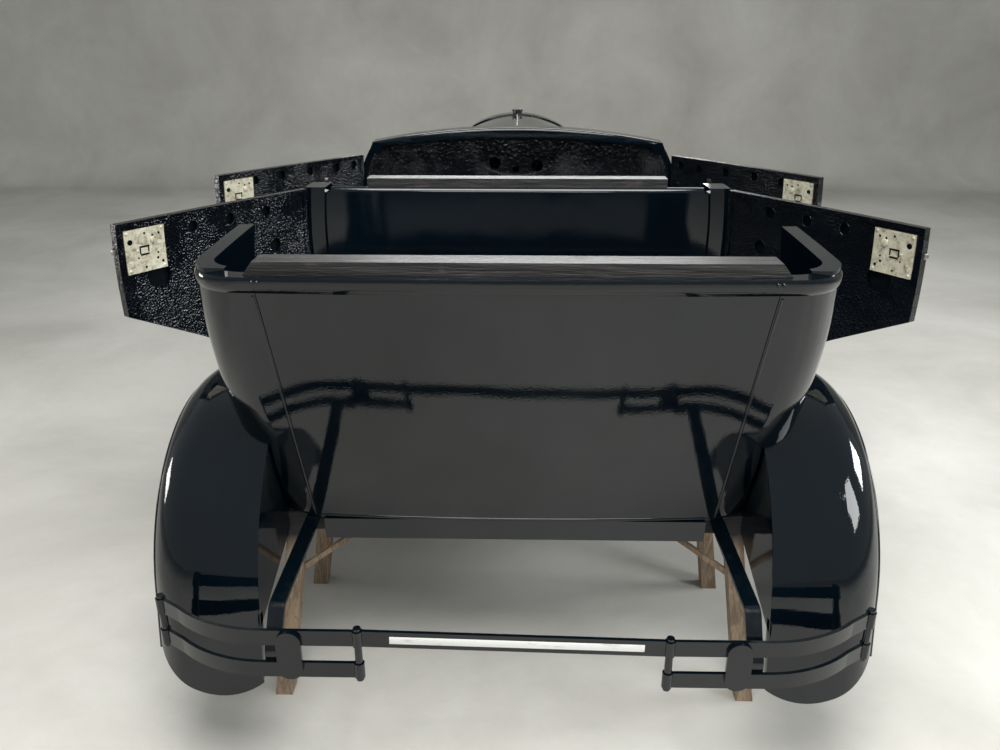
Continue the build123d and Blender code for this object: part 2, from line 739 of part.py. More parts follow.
bracket_stations = (centre_pillar_y[0] - 33, front_hinge_y - 260, cowl_front_y - 160)
with BuildPart() as running_board:
    with Locations((fender_inner_x, board_rear_y, board_top_z)):
        Box(fender_outer_x - fender_inner_x, board_front_y - board_rear_y, board_thickness,
            align=(Align.MIN, Align.MIN, Align.MAX))
    fillet(running_board.edges().filter_by(Axis.Y).sort_by(Axis.X)[-2:], radius=board_thickness / 2 - 1)
    for station in bracket_stations:
        with BuildSketch(Plane.XZ.offset(-station)):
            with BuildLine():
                top_x = rail_x(station) - 20
                Polyline((top_x, rail_bottom_z), (top_x, board_top_z - board_thickness - 8),
                         (780, board_top_z - board_thickness - 8), (780, board_top_z - board_thickness),
                         (top_x + 8, board_top_z - board_thickness), (top_x + 8, rail_bottom_z), close=True)
            make_face()
        extrude(amount=20, both=True)
save_pair(running_board, "running_board")

with BuildPart() as splash_apron:
    with BuildSketch(Plane.XY.offset(body_bottom_z - apron_sheet)):
        with BuildLine():
            points = [(rail_x(y) - 10, y) for y in (board_rear_y, centre_pillar_y[0] - 83, board_front_y)]
            Polyline((fender_inner_x, board_front_y), (fender_inner_x, board_rear_y), *points, close=True)
        make_face()
    extrude(amount=apron_sheet)
    with Locations((fender_inner_x - apron_sheet, board_rear_y, board_top_z - board_thickness)):
        Box(apron_sheet, board_front_y - board_rear_y, body_bottom_z - board_top_z + board_thickness,
            align=(Align.MIN, Align.MIN, Align.MIN))
save_pair(splash_apron, "splash_apron")

# Bumpers: two flat bars in a bow, rolled into eyes round a pin at each end, with a clamp plate
rear_face_y = rear_axle_y - arch_radius - rear_bumper_reach + bar_thickness
bar_back_y = rear_face_y + bar_thickness


def bumper_half(z):
    """Right half of a rear bumper, whose bars run outwards and bend forwards to the tip."""
    tip_x, tip_back = bumper_tip
    with BuildPart() as half:
        for side in (-1, 1):
            with BuildSketch(Plane.XY.offset(z + side * bar_pitch / 2 - bar_height / 2)):
                with BuildLine():
                    inner = Line((bumper_inner_x, rear_face_y), (bumper_straight_x, rear_face_y))
                    bow = TangentArc(inner @ 1, (tip_x - 50, rear_face_y + tip_back * 0.68), tangent=(1, 0))
                    Line(bow @ 1, (tip_x, rear_face_y + tip_back))
                    offset(amount=bar_thickness, side=Side.LEFT)
                make_face()
                with Locations((bumper_inner_x, rear_face_y + bar_thickness / 2),
                               (tip_x, rear_face_y + tip_back + bar_thickness / 2)):
                    Circle(bumper_eye_radius)
            extrude(amount=bar_height)
        for x, y in ((bumper_inner_x, rear_face_y), (tip_x, rear_face_y + tip_back)):
            with Locations((x, y + bar_thickness / 2, z)):
                Cylinder(bumper_pin_radius, bar_pitch + bar_height + 2 * pin_stand)
        with BuildSketch(Plane.XZ.offset(-rear_face_y)):
            with Locations((bumper_clamp_x, z)):
                SlotOverall(bar_pitch + bar_height, 52, rotation=90)
        extrude(amount=bar_thickness)
    return half.part


def bumper_arm(x, width, route):
    with BuildPart() as arm:
        with BuildSketch(Plane.YZ.offset(x - width / 2)):
            with BuildLine():
                FilletPolyline(*route, radius=22)
                offset(amount=bar_thickness, side=Side.LEFT)
            make_face()
        extrude(amount=width)
    return arm.part


def save_rear_bumper(side):
    z = bumper_z[side]
    with BuildPart() as bumper:
        add(bumper_half(z))
        add(bumper_arm(bumper_arm_x, bumper_arm_width, ((rear_axle_y + 307.5, rail_bottom_z), (rear_face_y + 67.5, rail_bottom_z),
                                          (bar_back_y, z), (bar_back_y, z - bar_pitch / 2 - bar_height / 2))))
    if side == "right":
        save(bumper, "bumper_rear_right")
    else:
        with BuildPart() as twin:
            mirror(bumper.part, about=Plane.YZ)
        save(twin, "bumper_rear_left")


for side in ("right", "left"):
    save_rear_bumper(side)

centre_bar_reach = bumper_inner_x - bumper_eye_radius + 2
centre_bar_height = 38
with BuildPart() as bumper_centre_bar:
    with BuildSketch(Plane.XZ.offset(-rear_face_y)):
        with BuildLine():
            left_z, right_z = (bumper_z[side] + bar_pitch / 2 for side in ("left", "right"))
            Polyline((-centre_bar_reach, left_z - centre_bar_height / 2), (centre_bar_reach, right_z - centre_bar_height / 2),
                     (centre_bar_reach, right_z + centre_bar_height / 2), (-centre_bar_reach, left_z + centre_bar_height / 2),
                     close=True)
        make_face()
    extrude(amount=-bar_thickness)
    for sign in (-1, 1):
        with Locations((sign * bumper_inner_x, rear_face_y + bar_thickness / 2, bumper_z["left"])):
            Cylinder(bumper_eye_radius, 400, mode=Mode.SUBTRACT)
save(bumper_centre_bar, "bumper_centre_bar")

with BuildPart() as bumper_front:
    add(mirror(bumper_half(front_bumper_z), about=Plane.XZ, mode=Mode.PRIVATE))
    with Locations((0, -rear_face_y, front_bumper_z + bar_pitch / 2)):
        Box(bumper_inner_x, bar_thickness, centre_bar_height, align=(Align.MIN, Align.MAX, Align.CENTER))
    add(bumper_arm(360, 45, ((-bar_back_y, front_bumper_z - bar_pitch / 2 - bar_height / 2),
                             (-bar_back_y, front_bumper_z), (-rear_face_y - 99.5, rail_bottom_z),
                             (front_axle_y - 282.5, rail_bottom_z))))
    mirror(about=Plane.YZ)
save(bumper_front, "bumper_front")

# Headlamps on a bar between the fenders
lamp_bar_y = radiator_y + radiator_depth + 50
lamp_x = 392
lamp_radius = 105
pad_x = 622
pad_z = axle_z + sqrt(fender_radius**2 - (lamp_bar_y - front_axle_y) ** 2)
lamp_bar_z = pad_z + 14
lamp_z = lamp_bar_z + 100
with BuildPart() as headlamps:
    with Locations((0, lamp_bar_y, lamp_bar_z)):
        Cylinder(12, 640, rotation=(0, 90, 0), align=(Align.CENTER, Align.CENTER, Align.MIN))
    with Locations((pad_x, lamp_bar_y, pad_z - 20)):
        Box(50, 36, 46, align=(Align.CENTER, Align.CENTER, Align.MIN))
    with Locations((pad_x, front_axle_y, axle_z)):
        Cylinder(fender_radius, 60, rotation=(0, 90, 0), mode=Mode.SUBTRACT)
    with Locations((lamp_x, lamp_bar_y, lamp_bar_z)):
        Cylinder(13, 60, align=(Align.CENTER, Align.CENTER, Align.MIN))
    with BuildSketch(Plane.YZ.offset(lamp_x)):
        with BuildLine():
            bowl = ThreePointArc((lamp_bar_y - 85, lamp_z), (lamp_bar_y - 40, lamp_z + 85),
                                 (lamp_bar_y + 60, lamp_z + lamp_radius))
            Polyline(bowl @ 1, (lamp_bar_y + 78, lamp_z + lamp_radius), (lamp_bar_y + 88, lamp_z), bowl @ 0)
        make_face()
    revolve(axis=Axis((lamp_x, lamp_bar_y, lamp_z), (0, 1, 0)))
    mirror(about=Plane.YZ)
save(headlamps, "headlamps")

# Stands: leaning or upright posts under a cross beam that carries the frame
stand_beam_z = rail_bottom_z - bar_thickness - beam_height


def stand(beam_y, foot_y, foot_x, braced):
    with BuildPart() as trestle:
        with BuildSketch(Plane.XY):
            with Locations((foot_x, foot_y)):
                Rectangle(timber, timber)
        with BuildSketch(Plane.XY.offset(stand_beam_z)):
            with Locations((stand_top_x, beam_y)):
                Rectangle(timber, timber)
        loft()
        with Locations((0, beam_y, stand_beam_z)):
            Box(stand_top_x + timber / 2 + 10, timber, beam_height, align=(Align.MIN, Align.CENTER, Align.MIN))
        if braced:
            with BuildSketch(Plane.XZ.offset(-beam_y - 7)):
                with BuildLine():
                    Polyline((566, 322), (566, 340), (388, stand_beam_z), (370, stand_beam_z), close=True)
                make_face()
            extrude(amount=14)
        mirror(about=Plane.YZ)
    return trestle


# Stands: name, beam station, foot station, foot half spread, whether thin braces run up to the beam
stands = (
    ("stand_rear_outer", rear_frame_y - 12, rear_frame_y - 88, stand_foot_x, True),
    ("stand_rear_inner", rear_axle_y + 257.5, rear_axle_y + 257.5, 622, False),
    ("stand_front_inner", front_axle_y - 242.5, front_axle_y - 242.5, 622, False),
    ("stand_front_outer", front_axle_y + 237.5, front_axle_y + 313.5, stand_foot_x, False),
)
for name, beam_y, foot_y, foot_x, braced in stands:
    save(stand(beam_y, foot_y, foot_x, braced), name)
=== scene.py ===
import math

import bmesh
import bpy
from mathutils import Matrix, Vector
from mathutils.bvhtree import BVHTree


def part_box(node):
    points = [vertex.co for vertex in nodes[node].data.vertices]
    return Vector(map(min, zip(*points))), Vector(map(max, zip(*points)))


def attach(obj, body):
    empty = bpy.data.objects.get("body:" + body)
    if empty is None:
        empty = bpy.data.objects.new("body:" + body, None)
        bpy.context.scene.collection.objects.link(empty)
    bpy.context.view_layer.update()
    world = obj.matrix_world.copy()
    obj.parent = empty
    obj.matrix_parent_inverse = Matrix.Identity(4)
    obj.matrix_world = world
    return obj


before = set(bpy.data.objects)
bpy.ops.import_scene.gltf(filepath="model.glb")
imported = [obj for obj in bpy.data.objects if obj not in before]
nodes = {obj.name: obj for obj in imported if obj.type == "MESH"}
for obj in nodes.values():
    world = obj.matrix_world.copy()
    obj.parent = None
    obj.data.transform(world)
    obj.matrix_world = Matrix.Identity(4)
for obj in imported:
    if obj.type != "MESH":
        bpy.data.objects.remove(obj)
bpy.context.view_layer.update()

scene = bpy.context.scene
scene.view_settings.view_transform = "Standard"
sides = {"left": -1, "right": 1}


# Camera: the photographer's place behind and above the car, worked out from the photo's perspective
view = {"place": (0, -3.312, 1.65), "pitch": 22.316, "yaw": 1.133, "sensor": 36, "focal": 842 / 1000 * 36}
cameraData = bpy.data.cameras.new("photoCamera")
cameraData.sensor_width = view["sensor"]
cameraData.lens = view["focal"]
camera = bpy.data.objects.new("photoCamera", cameraData)
camera.location = view["place"]
camera.rotation_euler = (math.radians(90 - view["pitch"]), 0, math.radians(view["yaw"]))
scene.collection.objects.link(camera)
scene.camera = camera


# A socket that can be added, subtracted from, multiplied and compared like a number
class Sock:
    def __init__(self, finish, socket):
        self.finish = finish
        self.socket = socket

    def math(self, operation, other=None, swapped=False):
        pair = (other, self) if swapped else (self, other)
        inputs = {i: value for i, value in enumerate(pair) if value is not None}
        return self.finish.add("Math", {"operation": operation}, inputs)

    def __add__(self, other):
        return self.math("ADD", other)

    def __radd__(self, other):
        return self.math("ADD", other, True)

    def __rsub__(self, other):
        return self.math("SUBTRACT", other, True)

    def __mul__(self, other):
        return self.math("MULTIPLY", other)

    def __rmul__(self, other):
        return self.math("MULTIPLY", other, True)

    def __gt__(self, other):
        return self.math("GREATER_THAN", other)


# One finish: a Principled shader, its fixed values, and the nodes that vary it
class Finish:
    def __init__(self, name, fixed):
        self.material = bpy.data.materials.new(name)
        self.material.use_nodes = True
        self.tree = self.material.node_tree
        self.shader = self.tree.nodes["Principled BSDF"]
        self.place = None
        for socket, value in fixed.items():
            self.shader.inputs[socket].default_value = value

    def feed(self, target, value):
        if isinstance(value, Sock):
            self.tree.links.new(value.socket, target)
        else:
            target.default_value = value

    def add(self, kind, settings, inputs, output=0):
        node = self.tree.nodes.new("ShaderNode" + kind)
        for key, value in settings.items():
            if key == "stops":
                while len(node.color_ramp.elements) < len(value):
                    node.color_ramp.elements.new(0.5)
                for element, (at, shade) in zip(node.color_ramp.elements, value):
                    element.position = at
                    element.color = (*shade, 1)
            else:
                setattr(node, key, value)
        for key, value in inputs.items():
            self.feed(node.inputs[key], value)
        return Sock(self, node.outputs[output])

    def coords(self, stretch=(1, 1, 1)):
        if self.place is None:
            self.place = self.add("TexCoord", {}, {}, "Object")
        return self.add("Mapping", {}, {"Vector": self.place, "Scale": stretch})

    def noise(self, scale, detail=3, rough=0.55, stretch=(1, 1, 1), warp=0):
        return self.add("TexNoise", {}, {"Vector": self.coords(stretch), "Scale": scale, "Detail": detail,
                                         "Roughness": rough, "Distortion": warp}, "Fac")

    def fold(self, value, width):
        return self.add("Math", {"operation": "PINGPONG"}, {0: value, 1: width})

    def axis(self, letter):
        return self.add("SeparateXYZ", {}, {"Vector": self.coords()}, letter)

    def ramp(self, value, stops):
        return self.add("ValToRGB", {"stops": stops}, {"Fac": value}, "Color")

    def fade(self, value, low, high):
        return self.add("MapRange", {"clamp": True}, {"Value": value, "From Min": low, "From Max": high})

    def mix(self, amount, first, second):
        def whole(shade):
            return shade if isinstance(shade, Sock) else (*shade, 1)
        return self.add("Mix", {"data_type": "RGBA"}, {0: amount, 6: whole(first), 7: whole(second)}, 2)

    def color(self, value):
        self.feed(self.shader.inputs["Base Color"], value)

    def rough(self, value):
        self.feed(self.shader.inputs["Roughness"], value)

    def bump(self, *layers):
        normal = None
        for height, distance in layers:
            inputs = {"Height": height, "Distance": distance, "Strength": 1}
            if normal is not None:
                inputs["Normal"] = normal
            normal = self.add("Bump", {}, inputs)
        self.feed(self.shader.inputs["Normal"], normal)


# Finishes
def glossBlack(name, wave, peel, base=(0.0010, 0.0030, 0.0052), dust=0.05):
    paint = Finish(name, {"IOR": 1.5})
    cloud = paint.noise(1.7, 5, 0.6)
    speck = paint.noise(900, 1, 0.5)
    haze = paint.fade(cloud, 0.45, 0.75)
    paint.color(paint.mix(haze, base, tuple(1.7 * c for c in base)))
    paint.rough(0.035 + dust * haze + 0.25 * paint.fade(speck, 0.74, 0.8))
    paint.bump((paint.noise(7, 1.5, 0.4), wave), (paint.noise(240, 1, 0.4), peel))
    return paint.material


def pebbledBlack(name, settings):
    paint = Finish(name, {"IOR": 1.52})
    facing = paint.add("TexCoord", {}, {}, "Normal")
    cells = paint.add("TexVoronoi", {"feature": "SMOOTH_F1"},
                      {"Vector": paint.coords(), "Scale": settings["pebble"], "Smoothness": 0.6}, "Distance")
    patch = paint.noise(settings["patch"], 3, 0.6)
    wet = paint.fade(patch, 0.4, 0.62)
    # The inner sheet is coarse; the outer skin, which faces away from the cabin, is smooth
    outwards = paint.add("VectorMath", {"operation": "DOT_PRODUCT"}, {0: facing, 1: settings["outwards"]}, "Value")
    inner = 1 - paint.fade(outwards, 0.1, 0.35)
    paint.color(paint.mix(wet, (0.0008, 0.0018, 0.0034), (0.0012, 0.0028, 0.005)))
    paint.rough(0.04 + inner * (0.03 + 0.08 * wet))
    paint.bump((paint.noise(8, 2, 0.45) * (0.2 + inner), 0.004),
               (cells * inner * (0.35 + 0.65 * wet), settings["depth"]), (paint.noise(420, 2, 0.5) * inner, 0.00022))
    return paint.material


def satinBlack(name, settings):
    paint = Finish(name, {"IOR": 1.5, "Specular IOR Level": settings.get("shine", 0.5)})
    streak = paint.noise(26, 5, 0.65)
    paint.color(paint.mix(paint.fade(streak, 0.5, 0.8), (0.001, 0.003, 0.005), (0.004, 0.007, 0.009)))
    paint.rough(settings["rough"] + 0.16 * paint.fade(streak, 0.35, 0.8))
    paint.bump((paint.noise(18, 3, 0.5), settings["wave"]), (paint.noise(330, 2, 0.5), 0.00012))
    return paint.material


def dashEnamel(name, settings):
    # Thick brushed enamel over the dash: broad soft pebbles, a few runs, dust in patches
    paint = Finish(name, {"IOR": 1.52})
    cells = paint.noise(settings["pebble"], 2, 0.5)
    runs = paint.noise(14, 3, 0.5, (1, 1, 0.25))
    dust = paint.fade(paint.noise(9, 5, 0.65), 0.45, 0.7)
    paint.color(paint.mix(dust, (0.004, 0.0045, 0.006), (0.011, 0.012, 0.015)))
    paint.rough(0.16 + 0.2 * dust)
    paint.bump((cells, settings["depth"]), (runs, 0.003))
    return paint.material


def paintedTimber(name, settings):
    paint = Finish(name, {"IOR": 1.48, "Coat Weight": 0.1, "Coat Roughness": 0.25})
    grain = paint.noise(settings["grain"], 8, 0.72, settings["along"], warp=0.6)
    pores = paint.noise(settings["grain"] * 5, 3, 0.6, settings["along"])
    worn = paint.fade(paint.noise(13, 6, 0.7), 0.58, 0.72)
    shade = paint.ramp(grain, ((0.3, (0.004, 0.004, 0.004)), (0.52, (0.013, 0.012, 0.012)),
                               (0.75, (0.045, 0.041, 0.038))))
    paint.color(paint.mix(worn * 0.5, shade, (0.075, 0.068, 0.06)))
    paint.rough(0.2 + 0.35 * grain + 0.15 * worn)
    paint.bump((grain, 0.0045), (pores, 0.0016))
    return paint.material


def rawTimber(name, settings):
    wood = Finish(name, {"IOR": 1.45})
    high = wood.axis("Z") > settings["beamZ"]
    upright = wood.noise(9, 8, 0.65, (6, 6, 0.55), warp=1.1)
    level = wood.noise(9, 8, 0.65, (0.55, 6, 6), warp=1.1)
    grain = upright * (1 - high) + level * high
    rings = wood.fold(grain * 9, 1)
    dirt = wood.fade(wood.noise(5, 6, 0.7), 0.48, 0.75)
    scuff = wood.fade(wood.noise(70, 4, 0.6, (1, 1, 0.4)), 0.6, 0.75)
    clear = wood.ramp(rings, ((0.0, (0.15, 0.10, 0.06)), (0.45, (0.24, 0.17, 0.11)), (1.0, (0.33, 0.25, 0.17))))
    bare = wood.mix(dirt * 0.6 + scuff * 0.2, clear, (0.13, 0.11, 0.09))
    # Painted shade: the posts' tops and the beams turn near-black where they stand close under the painted body
    shadeEdge = wood.axis("Z") + 0.05 * wood.noise(6, 3, 0.6)
    paintedShade = wood.fade(shadeEdge, settings["beamZ"] - 0.03, settings["beamZ"] + 0.02)
    # The wood takes the painted shade's near-black colour above the ragged edge
    wood.color(wood.mix(paintedShade, bare, (0.010, 0.010, 0.011)))
    wood.rough(0.62 + 0.25 * rings)
    wood.bump((rings, 0.0007), (wood.noise(150, 5, 0.7, (3, 3, 0.3)), 0.0006))
    return wood.material


def zincPlate(name, settings):
    zinc = Finish(name, {"IOR": 1.5})
    stain = zinc.noise(38, 6, 0.7, warp=0.8)
    spot = zinc.fade(zinc.noise(150, 3, 0.6), 0.6, 0.68)
    shade = zinc.ramp(stain, ((0.32, (0.20, 0.18, 0.12)), (0.47, (0.56, 0.53, 0.40)), (0.62, (0.70, 0.68, 0.55)),
                              (0.8, (0.80, 0.80, 0.72))))
    zinc.color(zinc.mix(spot * 0.75, shade, settings["spot"]))
    zinc.feed(zinc.shader.inputs["Metallic"], 0.35 - 0.3 * spot)
    zinc.rough(0.34 + 0.3 * stain + 0.15 * spot)
    zinc.bump((stain, 0.0008), (zinc.noise(300, 4, 0.6), 0.0004))
    return zinc.material


def radiatorFins(name, settings):
    core = Finish(name, {"Metallic": 0.6})
    across, up = core.axis("X"), core.axis("Z")
    tubeHeight = core.fade(core.fold(across, settings["tube"] / 2), 0, settings["tube"] / 2)
    finHeight = core.fade(core.fold(up, settings["fin"] / 2), 0, settings["fin"] / 2)
    worn = core.fade(core.noise(12, 6, 0.7), 0.5, 0.8)
    core.color(core.mix(worn * 0.7 + 0.2 * tubeHeight, (0.010, 0.010, 0.010), (0.05, 0.042, 0.03)))
    core.rough(0.45 + 0.3 * finHeight)
    core.bump((tubeHeight * finHeight, 0.003), (core.noise(90, 4, 0.6), 0.0006))
    return core.material


def castIron(name, settings):
    iron = Finish(name, {"Metallic": 0.2})
    sand = iron.noise(160, 6, 0.7)
    oil = iron.fade(iron.noise(4, 6, 0.65), 0.5, 0.7)
    iron.color(iron.mix(oil, settings["paint"], (0.02, 0.018, 0.015)))
    iron.rough(0.6 - 0.3 * oil + 0.15 * sand)
    iron.bump((sand, 0.0012), (iron.noise(22, 3, 0.5), 0.003))
    return iron.material


def ribbedCover(name, settings):
    rubber = Finish(name, {"IOR": 1.5})
    scuff = rubber.fade(rubber.noise(20, 7, 0.7, (1, 0.25, 1)), 0.52, 0.75)
    rubber.color(rubber.mix(scuff, (0.010, 0.010, 0.010), (0.055, 0.053, 0.05)))
    rubber.rough(settings["rough"] + 0.2 * scuff)
    rubber.bump((rubber.noise(260, 3, 0.6), 0.0004), (rubber.noise(12, 2, 0.5), 0.0008))
    return rubber.material


def floorTimber(name, settings):
    paint = Finish(name, {"IOR": 1.48})
    along = paint.axis("Y")
    joint = paint.fold(along + 5, settings["board"] / 2)
    groove = 1 - paint.fade(joint, 0.0, 0.004)
    grain = paint.noise(16, 7, 0.7, (0.25, 3, 1), warp=0.7)
    dust = paint.fade(paint.noise(3.5, 6, 0.7), 0.45, 0.75)
    shade = paint.mix(grain, (0.006, 0.006, 0.006), (0.03, 0.028, 0.026))
    paint.color(paint.mix(dust * 0.35, shade, (0.12, 0.11, 0.10)))
    paint.rough(0.25 + 0.3 * grain + 0.2 * dust)
    paint.bump((1 - groove, 0.004), (grain, 0.001))
    return paint.material


def brightMetal(name, settings):
    metal = Finish(name, {"Metallic": 1})
    stain = metal.noise(settings["stain"], 6, 0.65)
    metal.color(metal.mix(metal.fade(stain, 0.45, 0.75), settings["clean"], settings["dull"]))
    metal.rough(settings["rough"] + 0.25 * metal.fade(stain, 0.4, 0.8))
    metal.bump((metal.noise(420, 2, 0.5), 0.0001), (metal.noise(40, 3, 0.5), 0.0002))
    return metal.material


def lampGlass(name):
    glass = Finish(name, {"Transmission Weight": 1, "IOR": 1.45, "Base Color": (0.93, 0.96, 0.95, 1)})
    flute = 0.006
    glass.rough(0.02 + 0.05 * glass.noise(35, 3, 0.6))
    glass.bump((glass.fade(glass.fold(glass.axis("X"), flute), 0, flute), 0.0012), (glass.noise(60, 2, 0.5), 0.0002))
    return glass.material


def whiteTape(name):
    tape = Finish(name, {"IOR": 1.46})
    smear = tape.fade(tape.noise(60, 5, 0.7, (0.3, 1, 1)), 0.55, 0.75)
    tape.color(tape.mix(smear, (0.72, 0.72, 0.70), (0.45, 0.44, 0.42)))
    tape.rough(0.35 + 0.3 * smear)
    tape.bump((tape.noise(45, 3, 0.5, (0.3, 1, 1)), 0.0006), (tape.noise(500, 2, 0.5), 0.0001))
    return tape.material


finishes = {
    "bodyPaint": glossBlack("bodyPaint", wave=0.0007, peel=0.00006),
    "fenderPaint": glossBlack("fenderPaint", wave=0.0011, peel=0.00008, dust=0.04),
    "framePaint": satinBlack("framePaint", {"rough": 0.16, "wave": 0.001}),
    # Matte black with almost no shine, for the painted-shade discs in the door recesses
    "shadeMatteBlack": satinBlack("shadeMatteBlack", {"rough": 0.7, "wave": 0.0004, "shine": 0.08}),
    "bumperPaint": satinBlack("bumperPaint", {"rough": 0.07, "wave": 0.0007}),
    "dashPaint": dashEnamel("dashPaint", {"pebble": 75, "depth": 0.002}),
    "tackingTimber": paintedTimber("tackingTimber", {"grain": 12, "along": (0.22, 3.2, 3.2)}),
    "floorTimber": floorTimber("floorTimber", {"board": 0.19}),
    "standTimber": rawTimber("standTimber", {"beamZ": 0.468}),
    "latchZinc": zincPlate("latchZinc", {"spot": (0.13, 0.11, 0.08)}),
    "coreFins": radiatorFins("coreFins", {"tube": 0.011, "fin": 0.0042}),
    "engineIron": castIron("engineIron", {"paint": (0.055, 0.07, 0.055)}),
    "boardCover": ribbedCover("boardCover", {"rough": 0.5}),
    "nickel": brightMetal("nickel", {"stain": 30, "clean": (0.62, 0.60, 0.55), "dull": (0.40, 0.37, 0.31),
                                     "rough": 0.12}),
    "steelBolt": brightMetal("steelBolt", {"stain": 90, "clean": (0.30, 0.29, 0.28), "dull": (0.10, 0.08, 0.06),
                                           "rough": 0.3}),
    "lampGlass": lampGlass("lampGlass"),
    "whiteTape": whiteTape("whiteTape"),
}
for side, sign in sides.items():
    # The open doors' outer skins face out, forwards and a little up
    finishes[f"doorPaint_{side}"] = pebbledBlack(f"doorPaint_{side}", {"pebble": 190, "patch": 7, "depth": 0.0026,
                                                                       "outwards": (0.83 * sign, 0.56, 0)})
print("finishes made:", len(finishes))

# CAD nodes whose name starts so; every other node has the body's paint
nodeFinish = {
    "door_": "doorPaint", "dash_panel": "dashPaint", "latch_": "latchZinc", "hood_hinge_rod": "framePaint",
    "fender_": "fenderPaint", "splash_": "fenderPaint", "headlamps": "fenderPaint", "radiator_shell": "fenderPaint",
    "radiator_core": "coreFins", "radiator_cap": "bumperPaint", "running_board": "boardCover",
    "chassis_frame": "framePaint", "firewall": "framePaint", "gauge_plate": "dashPaint", "bumper_": "bumperPaint",
    "engine_block": "engineIron", "stand_": "standTimber", "floor_pan": "floorTimber",
    "front_tacking_rail": "tackingTimber", "rear_tacking_rail": "tackingTimber",
    "front_seat_riser": "tackingTimber", "rear_seat_riser": "tackingTimber",
}
for name, piece in nodes.items():
    finish = next((value for start, value in nodeFinish.items() if name.startswith(start)), "bodyPaint")
    if finish == "doorPaint":
        finish = "doorPaint_" + name.rsplit("_", 1)[1]
    if not piece.material_slots:
        piece.data.materials.append(None)
    for slot in piece.material_slots:
        slot.material = finishes[finish]
print("finishes on CAD nodes:", len(nodes))


# Mesh helpers
def facing(point, direction):
    # A place whose Z looks along a direction
    return Matrix.Translation(point) @ Vector(direction).to_track_quat("Z", "Y").to_matrix().to_4x4()


trees = {}


def seat(node, start, towards, sink=0):
    # The place on a CAD node that a ray meets, with Z along the surface's outward normal
    if node not in trees:
        trees[node] = BVHTree.FromObject(nodes[node], bpy.context.evaluated_depsgraph_get())
    heading = Vector(towards).normalized()
    point, normal, _, _ = trees[node].ray_cast(Vector(start), heading)
    if point is None:
        raise ValueError(f"no surface of {node} from {tuple(start)}")
    if normal.dot(heading) > 0:
        normal = -normal
    return facing(point - normal * sink, normal)


def seatFromBehind(node, x, z, sink=0):
    return seat(node, (x, -2.3, z), (0, 1, 0), sink)


def between(ends, i, steps):
    return ends[0] + (ends[1] - ends[0]) * i / steps


def only(kind, geometry):
    return [part for part in geometry if isinstance(part, kind)]


def edgesOf(verts):
    return list({edge for vert in verts for edge in vert.link_edges})


def softEdges(mesh, edges, width, segments=2):
    bmesh.ops.bevel(mesh, geom=edges, offset=width, segments=segments, profile=0.5, affect="EDGES", material=-1)


def addBlock(mesh, place, size, edge=0):
    made = bmesh.ops.create_cube(mesh, size=1, matrix=place @ Matrix.Diagonal((*size, 1)))
    if edge:
        softEdges(mesh, edgesOf(made["verts"]), edge)


def addRound(mesh, place, radius, height, segments, edge=0):
    # A short cylinder that stands on the place
    lifted = place @ Matrix.Translation((0, 0, height / 2))
    made = bmesh.ops.create_cone(mesh, cap_ends=True, segments=segments, radius1=radius, radius2=radius,
                                 depth=height, matrix=lifted)
    if edge:
        capped = [e for e in edgesOf(made["verts"]) if any(len(f.verts) > 4 for f in e.link_faces)]
        softEdges(mesh, capped, edge)


def addTurned(mesh, place, profile, segments):
    # A shape turned round the place's Z from a few (radius, height) points
    older = set(mesh.verts)
    points = [mesh.verts.new((radius, 0, height)) for radius, height in profile]
    edges = [mesh.edges.new(pair) for pair in zip(points, points[1:])]
    bmesh.ops.spin(mesh, geom=points + edges, cent=(0, 0, 0), axis=(0, 0, 1), angle=2 * math.pi,
                   steps=segments, use_merge=True)
    bmesh.ops.transform(mesh, matrix=place, verts=[vert for vert in mesh.verts if vert not in older])


def domeBolt(mesh, place, radius, height):
    addTurned(mesh, place, ((radius, 0), (radius, height * 0.25), (radius * 0.82, height * 0.62),
                            (radius * 0.5, height * 0.9), (0.0, height)), 16)


def finishPiece(mesh, name, finish, body, sharp=35):
    bmesh.ops.remove_doubles(mesh, verts=mesh.verts, dist=0.000002)
    bmesh.ops.recalc_face_normals(mesh, faces=mesh.faces)
    data = bpy.data.meshes.new(name)
    mesh.to_mesh(data)
    mesh.free()
    data.materials.append(finishes[finish])
    for polygon in data.polygons:
        polygon.use_smooth = True
    data.set_sharp_from_angle(angle=math.radians(sharp))
    piece = bpy.data.objects.new(name, data)
    scene.collection.objects.link(piece)
    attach(piece, body)


# Doors: a place on the inner face is found from its distance from the hinge axis and its height
door = {
    "angle": math.radians(34), "top": 1.185, "before": 0.35,
    "rear": {"axis": (0.698, -0.6195), "length": 0.6575},
    "front": {"axis": (0.646, 0.1575), "length": 0.6725},
}


def doorLines(which, side, height):
    # A point on the hinge axis, the way along the open door and the way in to the cabin
    x, y = door[which]["axis"]
    sign, sine, cosine = sides[side], math.sin(door["angle"]), math.cos(door["angle"])
    return Vector((sign * x, y, height)), Vector((sign * sine, -cosine, 0)), Vector((-sign * cosine, -sine, 0))


def onDoor(which, side, along, height, layer="door"):
    base, reach, inwards = doorLines(which, side, height)
    return seat(f"{layer}_{which}_{side}", base + reach * along + inwards * door["before"], -inwards)


